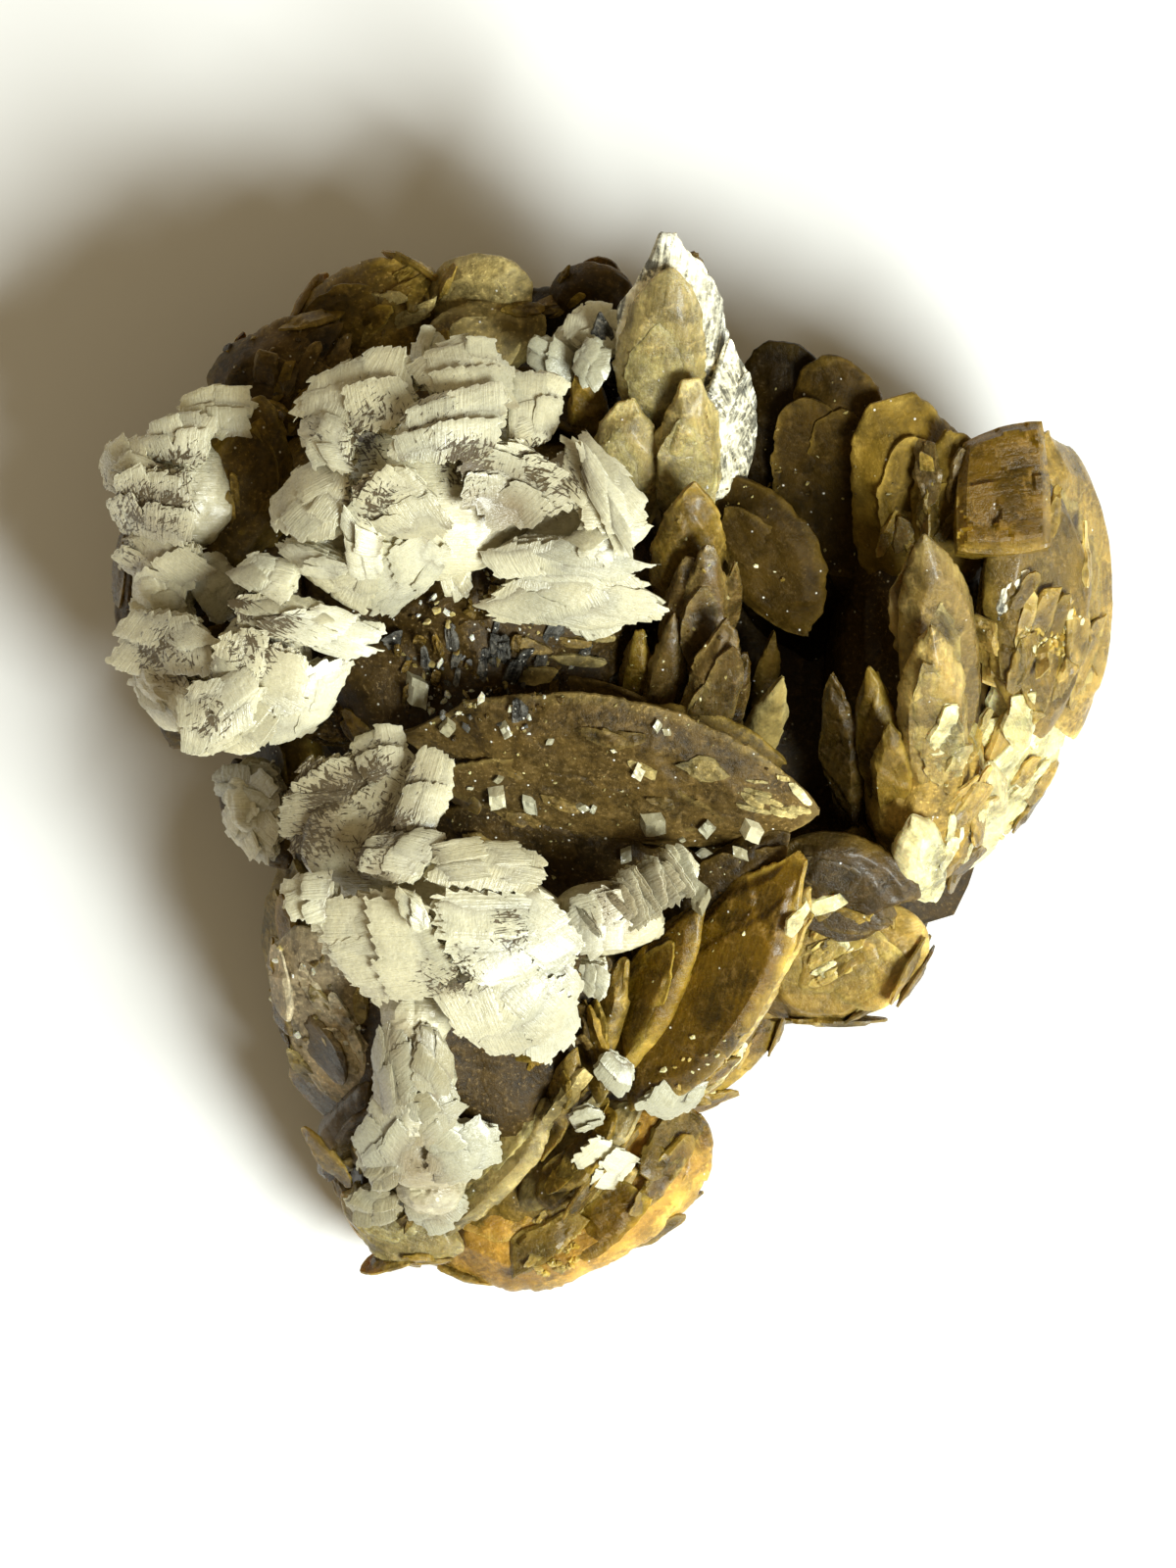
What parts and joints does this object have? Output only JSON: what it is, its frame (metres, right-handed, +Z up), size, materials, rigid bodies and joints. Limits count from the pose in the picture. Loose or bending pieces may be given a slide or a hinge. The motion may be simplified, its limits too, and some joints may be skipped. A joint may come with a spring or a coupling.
{
  "type": "siderite mineral specimen",
  "caption": "Hand specimen of brown lens-shaped siderite blades, crusted with white saddle-shaped dolomite, resting on a flat underside.",
  "frame": {"origin": "middle of the footprint, on the flat underside that the specimen rests on", "axes": "+Z up, away from the surface it rests on; +Y towards the tall pointed blade; +X towards the thick rounded side"},
  "size_m": [0.1041, 0.1095, 0.052],
  "materials": {
    "siderite": "satin, finely sparkling crystal faces, amber where thin",
    "dolomite": "pearly white crystal, dark specks in the hollows"
  },
  "bodies": {
    "root": {"siderite_blades": "siderite", "dolomite_crown": "dolomite", "dolomite_left": "dolomite", "dolomite_front": "dolomite", "dolomite_back": "dolomite", "dolomite_heel": "dolomite", "dolomite_flank": "dolomite", "dolomite_flake_cream": "dolomite", "dolomite_flake_grey": "dolomite", "dolomite_flake_long": "dolomite", "dolomite_flake_small": "dolomite", "rhomb_tall": "dolomite", "rhomb_clear": "dolomite", "rhomb_left": "dolomite", "rhomb_pale": "dolomite", "rhomb_mid": "dolomite", "rhomb_low": "dolomite", "rhomb_bright": "dolomite", "rhomb_amber": "dolomite", "rhomb_edge": "dolomite"}
  },
  "joints": []
}
